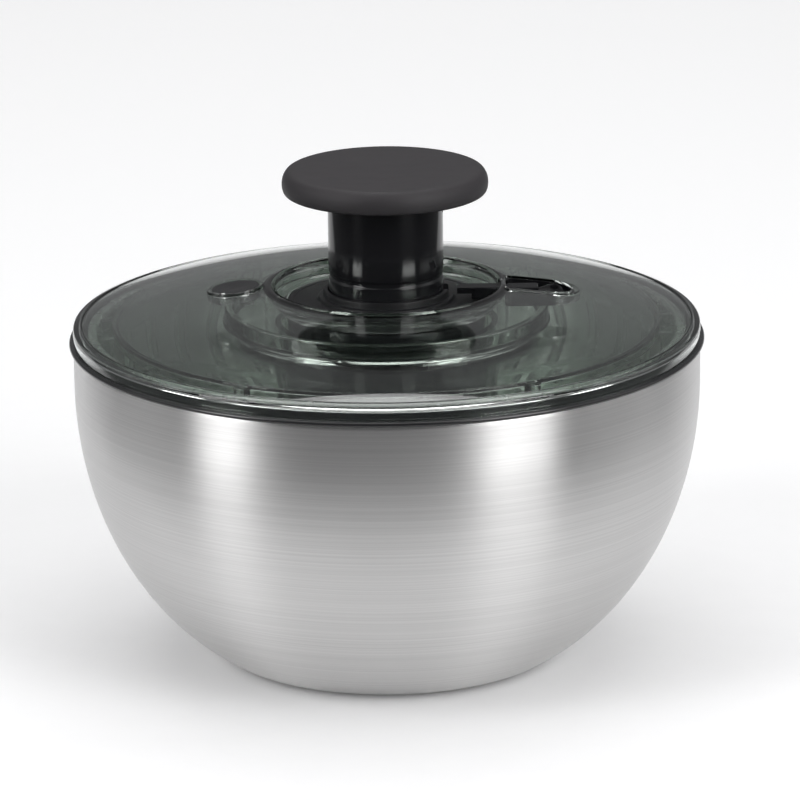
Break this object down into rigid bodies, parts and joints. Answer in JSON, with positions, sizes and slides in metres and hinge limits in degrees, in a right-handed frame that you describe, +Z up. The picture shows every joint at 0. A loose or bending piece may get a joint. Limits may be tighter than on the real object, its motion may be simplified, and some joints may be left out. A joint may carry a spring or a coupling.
{
  "type": "salad spinner",
  "caption": "Pump-action salad spinner: brushed steel bowl, slotted basket and a clear domed lid with a press-down knob, a brake button and a sliding catch.",
  "frame": {"origin": "centre of the bowl's foot, on the surface it stands on", "axes": "+Z up along the spin axis; brake button on -X, sliding catch on +X, front towards -Y"},
  "size_m": [0.27, 0.27, 0.2113],
  "materials": {
    "brushed_steel": "circular brushed",
    "clear_plastic": "clear, glossy",
    "frosted_plastic": "translucent",
    "gloss_black": "polished",
    "satin_black": "satin",
    "black_plastic": "fine moulded texture",
    "soft_touch": "soft matte",
    "black_silicone": "satin",
    "white_nylon": "natural",
    "grey_acetal": "smooth",
    "steel_hardware": "plain",
    "spring_steel": "drawn wire"
  },
  "bodies": {
    "bowl": {"bowl_shell": "brushed_steel", "base_grip_ring": "black_silicone"},
    "pivot_bearing": {"basket_pivot_bearing": "white_nylon"},
    "basket": {"basket": "frosted_plastic"},
    "lid": {"lid_dome": "clear_plastic", "rim_gasket": "black_silicone", "guide_collar": "gloss_black", "guide_sleeve": "black_plastic", "mechanism_housing": "gloss_black", "housing_base": "black_plastic", "housing_screws": "steel_hardware", "base_screws": "steel_hardware", "shaft_bush": "white_nylon", "thrust_washer": "steel_hardware", "brake_spring": "spring_steel", "lock_tray": "satin_black"},
    "drive_disc": {"drive_disc": "clear_plastic", "clutch_ring": "white_nylon", "disc_bush": "white_nylon"},
    "helix_shaft": {"helix_shaft": "grey_acetal", "spring_seat": "white_nylon", "clutch_spring": "spring_steel", "retaining_washer": "steel_hardware", "retaining_clip": "spring_steel"},
    "clutch_driver": {"clutch_driver": "grey_acetal"},
    "plunger": {"plunger_tube": "gloss_black", "drive_nut": "white_nylon", "follower_pins": "steel_hardware", "knob_core": "black_plastic", "knob_grip": "soft_touch", "knob_screws": "steel_hardware", "return_spring": "spring_steel"},
    "brake_button": {"brake_button": "satin_black", "brake_shoe": "black_silicone"},
    "lock_slider": {"lock_slider": "gloss_black"}
  },
  "joints": [
    {"name": "lid_lift", "type": "slide", "parent": "bowl", "child": "lid", "axis": [0, 0, 1], "range_m": [0, 0.3]},
    {"name": "basket_lift", "type": "slide", "parent": "bowl", "child": "pivot_bearing", "axis": [0, 0, 1], "range_m": [0, 0.15]},
    {"name": "basket_spin", "type": "hinge", "parent": "pivot_bearing", "child": "basket", "pos_m": [0, 0, 0.0095], "axis": [0, 0, 1], "continuous": true},
    {"name": "disc_spin", "type": "hinge", "parent": "lid", "child": "drive_disc", "pos_m": [0, 0, 0.0885], "axis": [0, 0, 1], "continuous": true},
    {"name": "knob_pump", "type": "slide", "parent": "lid", "child": "plunger", "axis": [0, 0, 1], "range_m": [-0.036, 0], "stiffness_N_per_m": 250, "springref_m": 0.03, "deforming": ["return_spring"]},
    {"name": "helix_spin", "type": "hinge", "parent": "lid", "child": "helix_shaft", "pos_m": [0, 0, 0.12], "axis": [0, 0, 1], "range_deg": [0, 540]},
    {"name": "clutch_drop", "type": "slide", "parent": "helix_shaft", "child": "clutch_driver", "axis": [0, 0, 1], "range_m": [-0.002, 0], "stiffness_N_per_m": 40, "springref_m": 0.004, "deforming": ["clutch_spring"]},
    {"name": "brake_press", "type": "slide", "parent": "lid", "child": "brake_button", "axis": [-0.1148, 0, 0.9934], "range_m": [-0.0034, 0], "stiffness_N_per_m": 300, "springref_m": 0.003, "deforming": ["brake_spring"]},
    {"name": "lock_slide", "type": "slide", "parent": "lid", "child": "lock_slider", "axis": [-1, 0, 0], "range_m": [0, 0.007]}
  ],
  "couplings": [
    {"joint": "basket_lift", "follows": "lid_lift", "ratio": 0.5},
    {"joint": "disc_spin", "follows": "basket_spin", "ratio": 1},
    {"joint": "helix_spin", "follows": "knob_pump", "rad_per_m": -261.79}
  ]
}
